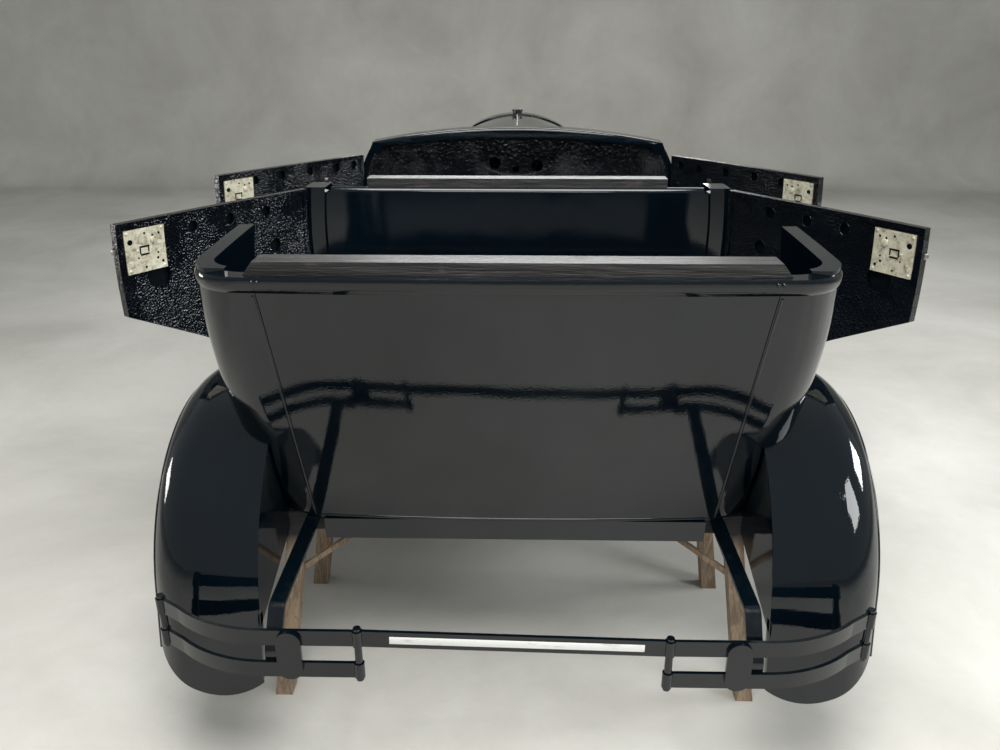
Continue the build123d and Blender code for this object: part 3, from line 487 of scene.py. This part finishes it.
latch = {
    "margin": 0.022, "plate": (0.120, 0.118), "mark": 0.0004, "slotDepth": 0.0006,
    # Holes in the plate: share of its length from the latch edge, share down, radius
    "holes": ((0.13, 0.27, 0.0075), (0.12, 0.78, 0.0055), (0.86, 0.17, 0.0035), (0.9, 0.84, 0.004),
              (0.5, 0.12, 0.003), (0.46, 0.9, 0.003), (0.70, 0.20, 0.0035), (0.74, 0.36, 0.003),
              (0.80, 0.62, 0.003), (0.78, 0.74, 0.0035), (0.30, 0.66, 0.0025)),
    # Slots: the same two shares, length, width
    "slots": ((0.47, 0.42, 0.030, 0.005), (0.47, 0.60, 0.026, 0.005), (0.36, 0.51, 0.004, 0.016),
              (0.57, 0.50, 0.004, 0.013)),
    "screws": ((0.06, 0.07), (0.94, 0.06), (0.94, 0.94), (0.07, 0.93), (0.3, 0.5)), "screw": (0.0042, 0.002),
    # Raised rounds: the same two shares, radius, height, edge
    "rounds": ((0.12, 0.78, 0.0095, 0.0012, 0.0004), (0.72, 0.3, 0.010, 0.004, 0.001)),
}
tongue = {"size": (0.020, 0.016, 0.026), "edge": 0.003, "drop": 0.075, "inset": 0.016, "sink": 0.0095, "before": 0.2}


def onPlate(which, side, share, drop):
    along = door[which]["length"] - latch["margin"] - share * latch["plate"][0]
    return onDoor(which, side, along, door["top"] - latch["margin"] - drop * latch["plate"][1], "latch")


for side in sides:
    for which in ("rear", "front"):
        body = f"{which}_door_{side}"
        holes = bmesh.new()
        for share, drop, radius in latch["holes"]:
            addRound(holes, onPlate(which, side, share, drop), radius, latch["mark"], 18)
        for share, drop, long, wide in latch["slots"]:
            addBlock(holes, onPlate(which, side, share, drop), (long, wide, latch["slotDepth"]))
        finishPiece(holes, f"latchHoles_{which}_{side}", "framePaint", body)
        screws = bmesh.new()
        for share, drop in latch["screws"]:
            domeBolt(screws, onPlate(which, side, share, drop), *latch["screw"])
        for share, drop, radius, height, edge in latch["rounds"]:
            addRound(screws, onPlate(which, side, share, drop), radius, height, 20, edge)
        finishPiece(screws, f"latchScrews_{which}_{side}", "latchZinc", body)
        # Latch tongue at the door's edge
        base, reach, inwards = doorLines(which, side, door["top"] - tongue["drop"])
        start = base + reach * (door[which]["length"] + tongue["before"]) + inwards * tongue["inset"]
        bolt = bmesh.new()
        addBlock(bolt, seat(f"door_{which}_{side}", start, -reach, tongue["sink"]), tongue["size"], tongue["edge"])
        finishPiece(bolt, f"latchTongue_{which}_{side}", "steelBolt", body)
print("latches detailed")

# Screws along the doors' top rims and hinge edges, and the hinge bolts
fixing = {
    "rear": (0.03, 0.2, 0.35, 0.5), "front": (0.03, 0.18, 0.33, 0.48), "drop": 0.007,
    "edge": 0.010, "edgeHeights": (0.62, 0.80, 1.0), "screw": (0.0035, 0.0015),
    "strap": 0.035, "boltHeights": (0.70, 1.08), "bolt": (0.006, 0.003),
}
for side in sides:
    for which in ("rear", "front"):
        screws = bmesh.new()
        for along in fixing[which]:
            domeBolt(screws, onDoor(which, side, along, door["top"] - fixing["drop"]), *fixing["screw"])
        for z in fixing["edgeHeights"]:
            domeBolt(screws, onDoor(which, side, fixing["edge"], z), *fixing["screw"])
        for z in fixing["boltHeights"]:
            domeBolt(screws, onDoor(which, side, fixing["strap"], z), *fixing["bolt"])
        finishPiece(screws, f"rimScrews_{which}_{side}", "bumperPaint", f"{which}_door_{side}")
print("door screws set")

# Painted shade: dark matte discs in the bottoms of the doors' round recesses: distance from the hinge axis, drop
# from the top, radius
recess = {
    "rear": ((0.1615, 0.045, 0.016), (0.2945, 0.045, 0.016), (0.4205, 0.045, 0.016), (0.5275, 0.048, 0.016),
             (0.5435, 0.160, 0.036), (0.1325, 0.155, 0.020)),
    "front": ((0.0505, 0.034, 0.015), (0.1385, 0.036, 0.015), (0.2685, 0.034, 0.015), (0.3995, 0.032, 0.015),
              (0.5185, 0.036, 0.015), (0.5435, 0.160, 0.036)),
    # Painted-shade disc in each recess bottom: share of the radius, height, edge; then the recess depth
    "floor": {"share": 0.985, "height": 0.0012, "edge": 0.0004}, "depth": 0.0125,
    # Rolled rim: share of the radius, height
    "rim": ((0.99, -0.002), (1.02, 0.0008), (1.06, 0.0014), (1.10, 0.0006), (1.12, -0.002)),
}
for side in sides:
    for which in ("rear", "front"):
        shadeDiscs, rings = bmesh.new(), bmesh.new()
        for along, drop, radius in recess[which]:
            place = onDoor(which, side, along, door["top"] - drop)
            # Each recess bottom gets a disc of painted shade
            shadeDisc = recess["floor"]
            addRound(shadeDiscs, place, radius * shadeDisc["share"], shadeDisc["height"], 40, shadeDisc["edge"])
            lip = place @ Matrix.Translation((0, 0, recess["depth"]))
            addTurned(rings, lip, [(radius * share, height) for share, height in recess["rim"]], 40)
        finishPiece(shadeDiscs, f"recessShadeDiscs_{which}_{side}", "shadeMatteBlack", f"{which}_door_{side}")
        finishPiece(rings, f"recessRims_{which}_{side}", "bumperPaint", f"{which}_door_{side}", 60)
print("door recesses finished")

# Wire bead rolled into the outer edge of each fender: where it starts and how far it turns, in degrees
fender = {"axleZ": 0.380, "rearY": -1.3075, "frontY": 1.3225, "edgeX": 0.8325, "radius": 0.394, "bead": 0.0055,
          "rear": (0, 170, 68), "front": (-5, 155, 62), "tail": 0.155, "inner": 0.573}


def addBead(mesh, sign, axleY, start, sweep, steps):
    # A ring of the bead, spun about the axle line
    angle = math.radians(start)
    axle = Vector((sign * fender["edgeX"], axleY, fender["axleZ"]))
    out = Vector((0, math.cos(angle), math.sin(angle)))
    along = Vector((1, 0, 0))
    ring = Matrix.Translation(axle + out * fender["radius"])
    across = Matrix((along, out, out.cross(along))).transposed().to_4x4()
    made = bmesh.ops.create_circle(mesh, cap_ends=True, segments=10, radius=fender["bead"], matrix=ring @ across)
    faces = list({face for vert in made["verts"] for face in vert.link_faces})
    spun = bmesh.ops.spin(mesh, geom=made["verts"] + edgesOf(made["verts"]) + faces, cent=axle, axis=along,
                          angle=math.radians(sweep), steps=steps)
    return only(bmesh.types.BMFace, spun["geom_last"]), math.radians(start + sweep)


for side, sign in sides.items():
    rear = bmesh.new()
    last, angle = addBead(rear, sign, fender["rearY"], *fender["rear"])
    heading = Vector((0, -math.sin(angle), math.cos(angle)))
    made = bmesh.ops.extrude_face_region(rear, geom=last)
    bmesh.ops.translate(rear, verts=only(bmesh.types.BMVert, made["geom"]), vec=heading * fender["tail"])
    finishPiece(rear, f"fenderBead_rear_{side}", "fenderPaint", "car_body", 60)
    front = bmesh.new()
    addBead(front, sign, fender["frontY"], *fender["front"])
    finishPiece(front, f"fenderBead_front_{side}", "fenderPaint", "car_body", 60)
print("fender beads rolled")

# Inner skirt of each rear fender: the wheelhouse wall carried back to the crown, and a flange down the tail
skirt = {"radius": 0.4685, "thick": 0.004, "edge": ((-1.484, 0.476), (-1.75, 0.405)), "front": -1.42,
         "flange": ((-1.766, 0.43), (-1.792, 0.27)), "flangeWidth": 0.026, "flangeEdge": 0.001}
for side, sign in sides.items():
    mesh = bmesh.new()
    x = sign * fender["inner"]
    place = Matrix.Translation((x, fender["rearY"], fender["axleZ"])) @ Matrix.Rotation(math.pi / 2, 4, "Y")
    bmesh.ops.create_cone(mesh, cap_ends=True, segments=120, radius1=skirt["radius"], radius2=skirt["radius"],
                          depth=skirt["thick"], matrix=place)
    (y0, z0), (y1, z1) = skirt["edge"]
    below = Vector((0, z0 - z1, y1 - y0)).normalized()
    for point, out in (((x, y0, z0), below), ((x, skirt["front"], 0), Vector((0, 1, 0)))):
        cut = bmesh.ops.bisect_plane(mesh, geom=mesh.verts[:] + mesh.edges[:] + mesh.faces[:], dist=1e-6,
                                     plane_co=point, plane_no=out, clear_outer=True)
        bmesh.ops.holes_fill(mesh, edges=only(bmesh.types.BMEdge, cut["geom_cut"]))
    (y0, z0), (y1, z1) = skirt["flange"]
    run = Vector((0, y1 - y0, z1 - z0))
    flangePlace = facing(Vector((x, (y0 + y1) / 2, (z0 + z1) / 2)), run)
    addBlock(mesh, flangePlace, (skirt["thick"], skirt["flangeWidth"], run.length), skirt["flangeEdge"])
    finishPiece(mesh, f"fenderSkirt_{side}", "fenderPaint", "car_body")
print("fender skirts cut")


def beadAlong(name, points, radius):
    # A rolled bead that follows places found on the skin
    curve = bpy.data.curves.new(name, "CURVE")
    curve.dimensions = "3D"
    curve.bevel_depth = radius
    curve.bevel_resolution = 2
    curve.use_fill_caps = True
    line = curve.splines.new("POLY")
    line.points.add(len(points) - 1)
    for knot, point in zip(line.points, points):
        knot.co = (*point, 1)
    tube = bpy.data.objects.new(name, curve)
    scene.collection.objects.link(tube)
    bpy.context.view_layer.update()
    data = bpy.data.meshes.new_from_object(tube.evaluated_get(bpy.context.evaluated_depsgraph_get()))
    bpy.data.objects.remove(tube)
    mesh = bmesh.new()
    mesh.from_mesh(data)
    finishPiece(mesh, name, "bodyPaint", "car_body", 60)


# Body beads: down each seam of the rear panel, and along the tub's lower edge round the corner
seam = {"x": (0.5255, 0.493), "z": (1.158, 0.536), "radius": 0.0032, "sink": 0.001, "steps": 40}
# The corner's rays leave a centre at angles from its side; those before the first meet the rear panel instead
lowerBead = {"z": 0.5365, "centre": (0.30, -1.20), "angles": (90, 158), "steps": 46, "first": 21, "before": 0.9,
             "rearX": (-0.48, -0.36, -0.24, -0.12, 0.0, 0.12, 0.24, 0.36, 0.48), "radius": 0.0045, "sink": 0.0015}
for side, sign in sides.items():
    panel = f"quarter_panel_{side}"
    points = []
    for i in range(seam["steps"] + 1):
        x, z = between(seam["x"], i, seam["steps"]), between(seam["z"], i, seam["steps"])
        points.append(seatFromBehind(panel, sign * x, z, seam["sink"]).translation)
    beadAlong(f"seamBead_{side}", points, seam["radius"])
    points = []
    x, y = lowerBead["centre"]
    for i in range(lowerBead["first"], lowerBead["steps"] + 1):
        angle = math.radians(between(lowerBead["angles"], i, lowerBead["steps"]))
        out = Vector((-sign * math.cos(angle), -math.sin(angle), 0))
        start = Vector((sign * x, y, lowerBead["z"])) + out * lowerBead["before"]
        points.append(seat(panel, start, -out, lowerBead["sink"]).translation)
    beadAlong(f"lowerBead_{side}", points, lowerBead["radius"])
points = [seatFromBehind("rear_panel", x, lowerBead["z"], lowerBead["sink"]).translation for x in lowerBead["rearX"]]
beadAlong("lowerBead_rear", points, lowerBead["radius"])
print("body beads laid")

# Seam knobs: one at the top of the rear panel and one on the quarter beside it, on each side
knob = {"panelX": 0.509, "quarterX": 0.520, "z": 1.191, "radius": 0.0042, "height": 0.005}
knobs = bmesh.new()
for side, sign in sides.items():
    for node, x in (("rear_panel", knob["panelX"]), (f"quarter_panel_{side}", knob["quarterX"])):
        domeBolt(knobs, seatFromBehind(node, sign * x, knob["z"]), knob["radius"], knob["height"])
finishPiece(knobs, "seamKnobs", "bodyPaint", "car_body", 50)

# White strip on the rear bumper's centre bar, laid between two places on it
strip = {"x": (-0.254, 0.268), "z": (0.494, 0.482), "height": 0.017, "thick": 0.0024, "edge": 0.0005}
ends = [seatFromBehind("bumper_centre_bar", x, z).translation for x, z in zip(strip["x"], strip["z"])]
lean = math.atan2(ends[1].z - ends[0].z, ends[1].x - ends[0].x)
place = Matrix.Translation((ends[0] + ends[1]) / 2) @ Matrix.Rotation(-lean, 4, "Y")
tape = bmesh.new()
addBlock(tape, place, (strip["x"][1] - strip["x"][0], strip["thick"], strip["height"]), strip["edge"])
finishPiece(tape, "bumperStrip", "whiteTape", "car_body")
print("bumper strip laid")

# Running board: ribs along its cover
ribs = {"count": 13, "x": (0.612, 0.795), "z": 0.4, "width": 0.0065, "height": 0.006, "margin": 0.03, "edge": 0.0018}
for side, sign in sides.items():
    low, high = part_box(f"running_board_{side}")
    mesh = bmesh.new()
    for i in range(ribs["count"]):
        x = between(ribs["x"], i, ribs["count"] - 1)
        place = Matrix.Translation((sign * x, (low.y + high.y) / 2, ribs["z"]))
        addBlock(mesh, place, (ribs["width"], high.y - low.y - ribs["margin"], ribs["height"]), ribs["edge"])
    finishPiece(mesh, f"boardRibs_{side}", "boardCover", "car_body")
print("running boards ribbed")

# Hood: a pressed louvre over each slot
louvre = {"count": 14, "pitch": 0.034, "y": 0.957, "z": 0.895, "half": (0.0075, 0.012, 0.058), "before": 0.8,
          "sink": 0.0005}
for side, sign in sides.items():
    mesh = bmesh.new()
    for i in range(louvre["count"]):
        y = louvre["y"] + (i - (louvre["count"] - 1) / 2) * louvre["pitch"]
        start = (sign * louvre["before"], y, louvre["z"])
        middle = seat(f"hood_{side}", start, (-sign, 0, 0), louvre["sink"]).translation
        made = bmesh.ops.create_uvsphere(mesh, u_segments=14, v_segments=10, radius=1,
                                         matrix=Matrix.Translation(middle) @ Matrix.Diagonal((*louvre["half"], 1)))
        faces = list({face for vert in made["verts"] for face in vert.link_faces})
        bmesh.ops.bisect_plane(mesh, geom=made["verts"] + edgesOf(made["verts"]) + faces, dist=1e-6,
                               plane_co=middle, plane_no=(-sign, 0, 0), clear_outer=True)
    finishPiece(mesh, f"hoodLouvres_{side}", "bodyPaint", f"hood_half_{side}", 50)
print("louvres pressed")

# Headlamps: a bright rim and a fluted glass on each, turned from (radius, height) points
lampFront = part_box("headlamps")[1]
lamp = {
    "x": 0.392, "y": lampFront.y - 0.010, "z": lampFront.z - 0.105,
    "rim": ((0.107, -0.016), (0.111, -0.010), (0.1115, 0.0), (0.109, 0.008), (0.103, 0.011), (0.0975, 0.009),
            (0.0965, 0.004), (0.107, -0.016)),
    "glass": ((0.098, 0.005), (0.090, 0.011), (0.070, 0.017), (0.045, 0.021), (0.02, 0.0225), (0.0, 0.023)),
}
rims, glasses = bmesh.new(), bmesh.new()
for sign in sides.values():
    centre = facing((sign * lamp["x"], lamp["y"], lamp["z"]), (0, 1, 0))
    addTurned(rims, centre, lamp["rim"], 64)
    addTurned(glasses, centre, lamp["glass"], 64)
finishPiece(rims, "lampRims", "nickel", "car_body", 50)
finishPiece(glasses, "lampGlasses", "lampGlass", "car_body", 60)
print("headlamps glazed")


# Studio: a pale floor that turns up into a backdrop, and soft lights
def studioFloor(name):
    floorFinish = Finish(name, {"IOR": 1.4})
    patch = floorFinish.noise(0.9, 6, 0.62, warp=0.4)
    fine = floorFinish.noise(14, 6, 0.65)
    shade = floorFinish.ramp(patch, ((0.3, (0.46, 0.45, 0.41)), (0.5, (0.56, 0.55, 0.51)),
                                     (0.72, (0.66, 0.65, 0.61))))
    floorFinish.color(floorFinish.mix(0.18 * fine, shade, (0.30, 0.29, 0.26)))
    floorFinish.rough(0.5 + 0.3 * fine)
    floorFinish.bump((fine, 0.002), (patch, 0.004))
    return floorFinish.material


studio = {"half": 14.0, "back": -14.0, "wall": 6.6, "bend": 0.5, "height": 5.0}
mesh = bmesh.new()
corner = [mesh.verts.new((x, studio["back"], 0)) for x in (-studio["half"], studio["half"])]
edge = mesh.edges.new(corner)
made = bmesh.ops.extrude_edge_only(mesh, edges=[edge])
bendY = studio["wall"] - studio["bend"]
bmesh.ops.translate(mesh, verts=only(bmesh.types.BMVert, made["geom"]), vec=(0, bendY - studio["back"], 0))
spun = bmesh.ops.spin(mesh, geom=only(bmesh.types.BMEdge, made["geom"]), cent=(0, bendY, studio["bend"]),
                      axis=(1, 0, 0), angle=math.pi / 2, steps=12)
made = bmesh.ops.extrude_edge_only(mesh, edges=only(bmesh.types.BMEdge, spun["geom_last"]))
bmesh.ops.translate(mesh, verts=only(bmesh.types.BMVert, made["geom"]), vec=(0, 0, studio["height"]))
bmesh.ops.recalc_face_normals(mesh, faces=mesh.faces)
floorData = bpy.data.meshes.new("studioFloor")
mesh.to_mesh(floorData)
mesh.free()
floorData.materials.append(studioFloor("studioFloor"))
for polygon in floorData.polygons:
    polygon.use_smooth = True
floor = bpy.data.objects.new("studioFloor", floorData)
scene.collection.objects.link(floor)

# Soft boxes: place, what they look at, size, power, colour
softBoxes = {
    "overhead": ((0.0, -2.7, 4.2), (0, -2.5, 0), (2.4, 2.8), 240, (1, 0.99, 0.97)),
    "farWindow": ((0.2, 5.0, 2.9), (0, 0, 1.0), (3.4, 1.8), 110, (0.97, 0.99, 1)),
    "rightWindow": ((3.9, -3.2, 2.6), (0.7, -1.6, 0.5), (1.3, 1.7), 70, (0.97, 0.99, 1)),
    "leftFill": ((-4.2, -0.6, 0.9), (-0.6, -0.9, 0.9), (0.9, 0.5), 16, (1, 0.98, 0.95)),
    "rightFill": ((4.6, -0.7, 2.1), (0.3, -0.9, 1.1), (1.3, 1.0), 85, (0.97, 0.99, 1)),
    "behind": ((0.0, -6.5, 2.7), (0, -1.5, 0.9), (1.9, 1.3), 60, (0.95, 0.98, 1)),
}
for name, (place, target, size, power, colour) in softBoxes.items():
    data = bpy.data.lights.new(name, "AREA")
    data.shape = "RECTANGLE"
    data.size, data.size_y = size
    data.energy = power
    data.color = colour
    lampObject = bpy.data.objects.new(name, data)
    lampObject.location = place
    lampObject.rotation_euler = (Vector(target) - Vector(place)).to_track_quat("-Z", "Y").to_euler()
    lampObject.visible_camera = False
    scene.collection.objects.link(lampObject)
world = bpy.data.worlds.new("studioAir")
world.use_nodes = True
world.node_tree.nodes["Background"].inputs["Color"].default_value = (0.42, 0.43, 0.43, 1)
world.node_tree.nodes["Background"].inputs["Strength"].default_value = 0.75
scene.world = world
print("studio lit")
